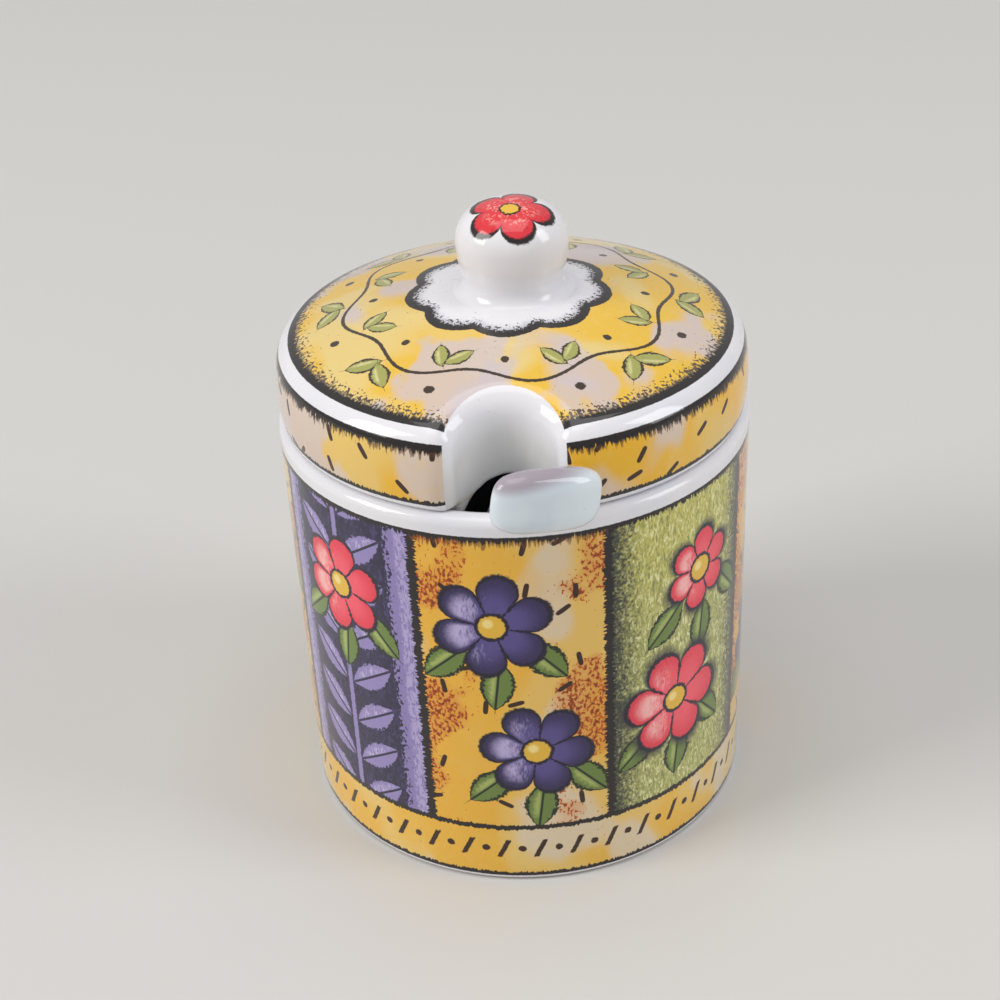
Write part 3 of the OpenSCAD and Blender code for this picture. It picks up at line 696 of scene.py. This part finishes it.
top = lay(top, "2B2727", ramp(inside + 2.6 * bristle_out, -1.2, -0.9) * ramp(inside + 0.5 * rag, 0.85, 0.65))

# The line round the top, with dry-brush flecks and hair marks on its inner side
ring_r = 40.2
top = lay(top, "5B4E45", stipple(place, ramp(from_axis, ring_r - 4.2, ring_r - 0.4) * 0.7))
top = lay(top, "5B5350", ramp(from_axis - 5.0 * bristle_out, ring_r - 0.9, ring_r - 0.3) * 0.75)
top = lay(top, "2F2B2B", ramp(from_axis - 2.4 * bristle_out, ring_r - 0.3, ring_r))

# The side: one band of dashes on the same ground, between brushed lines
side_top, side_foot = 95.4, 85.5
side = wash(place, "EFB72C", "EAC46A", "D8C9C0", 0.54)
side = lay(side, "D3C6C4", ramp(reach(x + 39.3, y + 20.9) + drift, 14.5, 11.0) * 0.8)
dashes = scatter(turn * lid_r, z, cell=7.6, length=3.2, width=1.0, share=0.9, seam=pi * lid_r)
side = lay(side, dash_brown, dashes)
side = lay(side, "5A3A22", ramp(z + 5.0 * bristle_up, side_top - 0.9, side_top - 0.4) * 0.75)
side = lay(side, line_black, ramp(z + 3.0 * bristle_up, side_top - 0.3, side_top))
side = lay(side, line_black, ramp(z + 1.8 * bristle_up, side_foot + 0.25, side_foot))

# Top and side meet on the shoulder, where a band of white is left between them
top_paint_r, side_paint_z, side_paint_low, blur = 41.55, 96.7, 84.75, 0.08
shoulder_run = work("ARCTAN2", z - shoulder.y, from_axis - shoulder.x) * shoulder_r - 0.2 * rag
top_edge = acos((top_paint_r - shoulder.x) / shoulder_r) * shoulder_r
side_edge = asin((side_paint_z - shoulder.y) / shoulder_r) * shoulder_r
over_foot = ramp(z + 0.2 * rag, side_paint_low - blur, side_paint_low + blur)
on_side = ramp(shoulder_run, side_edge + blur, side_edge - blur) * over_foot
on_top = ramp(shoulder_run, top_edge - blur, top_edge + blur)
colour = lay(lay(plain_white, side, on_side), top, on_top)

# The lip of the notch, and everything inside and below, is plain white, but for painted grey shade deep in the
# scoop, and the flange's bearing edge is bare
lip_w, lip_l = 10.5, 11.8
notch = reach(x / lip_w, larger(y + notch_y, 0.0) / lip_l)
from_centre = reach(from_axis, z - dome_z)
outer = larger(ramp(from_centre, dome_r - 1.6, dome_r - 1.5), ramp(from_axis, lid_r - 3.0, lid_r - 2.9))
in_front = work("LESS_THAN", y, notch_r + notch_wall - notch_y)
off_lip = larger(ramp(notch + 0.02 * rag, 1.0, 1.012), 1.0 - in_front)
# Painted shade: the white is greyed deeper under the surface inside the scoop, where the real scoop lies in shadow
painted_scoop_shade = ramp(from_centre, dome_r - 2.0, dome_r - 9.0) * in_front * (1.0 - off_lip)
white_with_scoop_shade = lay(plain_white, "D6D3D1", painted_scoop_shade)
colour = lay(white_with_scoop_shade, colour, outer * off_lip * ramp(z, lid_z + 0.5, lid_z + 0.6))
bare_edge = between(z, lid_z - 0.3, lid_z + 0.25, 0.05) * ramp(from_axis, 41.2, 40.9)
colour = lay(colour, bare_clay, bare_edge)
fire(lid_glaze, place, colour, bare_edge)
lid.data.materials.clear()
lid.data.materials.append(lid_glaze)
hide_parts("lid")
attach(lid, "lid")

# THE KNOB
# The knob is a small solid mushroom of the same clay, cast apart and stuck to the crown of the lid with slip
# before firing, a little off the middle. It is white, with one small painted flower on its crown.

knob_h, crown_round, crown_r, foot_sunk, knob_sunk = 17.0, 6.5, 18.0, 0.04, 0.5
crown_z = knob_h - crown_r + sqrt((crown_r - crown_round) ** 2 - (knob_r - crown_round) ** 2)
crown_turn = degrees(atan2(crown_z - (knob_h - crown_r), knob_r - crown_round))
foot_turn = degrees(atan2(knob_foot.y - neck.y, knob_foot.x - neck.x))
deselect()
knob = draw_outline("white_knob",
    [(0, -knob_sunk), (knob_foot.x / 2, -knob_sunk), (knob_foot.x, -knob_sunk)]
    + arc((knob_foot.x, knob_foot_r - foot_sunk), knob_foot_r, 270, 180 + foot_turn, 16)
    + arc(neck, neck_r, foot_turn, 0, 16)
    + arc((knob_r - crown_round, crown_z), crown_round, 0, crown_turn, 20)
    + arc((0, knob_h - crown_r), crown_r, crown_turn, 90, 16))
turn_outline(128)
bpy.ops.transform.translate(value=(knob_off * MM, 0, seat_z * MM))
bpy.ops.object.transform_apply(location=True, rotation=True, scale=True)

# The flower is spread over the crown as on a ball of radius bulge_r, and a little towards the front
knob_glaze, place, (x, y, z) = new_glaze("white_knob_glaze")
flower_black, bulge_z, bulge_r, to_front = "2B2224", 7.0, 10.0, 3.2
rag = ragged(place)
hatch = clouds(place, 1.2, 3.0, 1.0)
knob_x = x - knob_off
from_middle = larger(reach(knob_x, y), 0.01)
bend = work("ARCTAN2", from_middle, z - seat_z - bulge_z) * bulge_r / from_middle
fx, fy = knob_x * bend, y * bend + to_front
colour = white_ground(place)
on_crown = ramp(z, seat_z + 7.6, seat_z + 7.9)
edge, _, out = blossom(fx * 0.93, fy, 7.0, 5, rag * 0.1)
colour = lay(colour, flower_black, ramp(edge, 1.12, 1.05) * on_crown)
colour = lay(colour, lay(ink("E23A44"), "B9252F", ramp(hatch, 0.5, 0.7)), ramp(edge, 0.97, 0.9) * on_crown)
colour = lay(colour, "FF9E93", ramp(edge, 0.8, 0.5) * ramp(hatch, 0.48, 0.62) * on_crown)
colour = lay(colour, flower_black, ramp(out + rag, 2.0, 1.75) * on_crown)
colour = lay(colour, "EDBF45", ramp(out + rag, 1.6, 1.3) * on_crown)
fire(knob_glaze, place, colour)
knob.data.materials.append(knob_glaze)
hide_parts("knob")
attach(knob, "lid")

# THE SPOON
# The spoon is cast in white ware with a cooler, bluish glaze: a thick pillow-shaped end to hold, a slim handle
# that bends over the rim, and a hollow bowl. It is loose, and leans in the notch with its bowl on the pot's floor.

deselect()
cad_spoon = frame["nodes"]["spoon"]
bpy.context.view_layer.objects.active = cad_spoon
cad_spoon.select_set(True)
bpy.ops.object.duplicate()
spoon = bpy.context.object
spoon.name = "jam_spoon"
del spoon["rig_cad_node"]  # the copy isn't the CAD node any more, but stands for it
bpy.ops.object.mode_set(mode="EDIT")
bpy.ops.mesh.select_all(action="SELECT")
bpy.ops.mesh.remove_doubles(threshold=1e-5)
bpy.ops.mesh.tris_convert_to_quads(face_threshold=radians(60), shape_threshold=radians(60))
bpy.ops.object.mode_set(mode="OBJECT")
finer = spoon.modifiers.new("finer", "SUBSURF")
finer.levels = finer.render_levels = 2
bpy.ops.object.modifier_apply(modifier=finer.name)
bpy.ops.object.shade_smooth()

# Painted shade: a mauve grey darkens the upper back of the spoon's end, which lies in shadow in the notch
spoon_glaze, place, (x, y, z) = new_glaze("bluish_spoon_glaze")
colour = lay(ink("DDE6EC"), "CBD7E2", ramp(clouds(place, 0.1, 1.0), 0.45, 0.65) * 0.5)
colour = lay(colour, "9A958F", iron_specks(place))
# Painted shade on the top of the spoon's end, darker upwards
colour = lay(colour, "9E8E9A", ramp(z, 93.2, 95.4) * 0.85)
fire(spoon_glaze, place, colour)
spoon.data.materials.clear()
spoon.data.materials.append(spoon_glaze)
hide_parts("spoon")
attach(spoon, "spoon")

# THE TABLE, THE LIGHT AND THE CAMERA
# A plain pale table top under soft studio lamps, seen from a little above, as in the photograph. The table and
# the world behind it are no part of the object.

deselect()
bpy.ops.mesh.primitive_circle_add(vertices=128, radius=4, fill_type="NGON")
table = bpy.context.object
table.name = "pale_table"
pale = bpy.data.materials.new("pale_table_top")
pale.use_nodes = True
pale_shader = pale.node_tree.nodes["Principled BSDF"]
pale_shader.inputs["Base Color"].default_value = ink("D2D0CD")
pale_shader.inputs["Roughness"].default_value = 0.55
table.data.materials.append(pale)

world = bpy.data.worlds.new("studio")
bpy.context.scene.world = world
world.use_nodes = True
tree = world.node_tree
tree.nodes.clear()
sky = tree.nodes.new("ShaderNodeBackground")
sky.inputs["Color"].default_value = (1, 1, 1, 1)
rays = tree.nodes.new("ShaderNodeLightPath")
seen = [Field(tree, rays.outputs[name]) for name in ("Is Camera Ray", "Is Glossy Ray", "Is Transmission Ray")]
sky_light, backdrop = 0.3, 0.5
strength = sky_light + (backdrop - sky_light) * larger(larger(seen[0], seen[1]), seen[2])
tree.links.new(strength.socket, sky.inputs["Strength"])
result = tree.nodes.new("ShaderNodeOutputWorld")
tree.links.new(sky.outputs[0], result.inputs["Surface"])


def softbox(name, place, size, power, tint=(1, 1, 1)):
    """A rectangular lamp that faces the middle of the pot."""
    pot_middle = Vector((0, 0, 0.06))
    lamp = bpy.data.lights.new(name, "AREA")
    lamp.shape, lamp.size, lamp.size_y = "RECTANGLE", size[0], size[1]
    lamp.energy, lamp.color = power, tint
    stand = bpy.data.objects.new(name, lamp)
    bpy.context.collection.objects.link(stand)
    stand.location = place
    stand.rotation_euler = (pot_middle - stand.location).to_track_quat("-Z", "Y").to_euler()


softbox("window_left", (-2.1, -0.75, 1.4), (1.1, 1.5), 39.0, (1.0, 0.99, 0.97))
softbox("window_right", (2.1, -0.5, 1.2), (0.88, 1.5), 21.5, (0.98, 0.99, 1.0))
softbox("ceiling", (0.0, -0.12, 3.0), (2.25, 2.25), 33.0)

# The camera's place and directions were fitted to the pot's circles, and turned a little round the pot's axis
turned = Matrix.Rotation(radians(2.6), 3, "Z")
right = turned @ Vector((0.99895908, -0.01444025, -0.04326936))
up = turned @ Vector((0.0443821, 0.52676363, 0.84885235))
forward = turned @ Vector((-0.01053509, 0.84988914, -0.5268562))
view = bpy.data.cameras.new("camera")
view.lens, view.sensor_width, view.sensor_fit = 60.73, 36.0, "HORIZONTAL"
view.clip_start = 0.01
camera = bpy.data.objects.new("camera", view)
bpy.context.collection.objects.link(camera)
stance = Matrix((right, up, -forward)).transposed().to_4x4()
stance.translation = turned @ Vector((0.0000015, -0.28567, 0.236801))
camera.matrix_world = stance
bpy.context.scene.camera = camera
bpy.context.scene.view_settings.view_transform = "Standard"
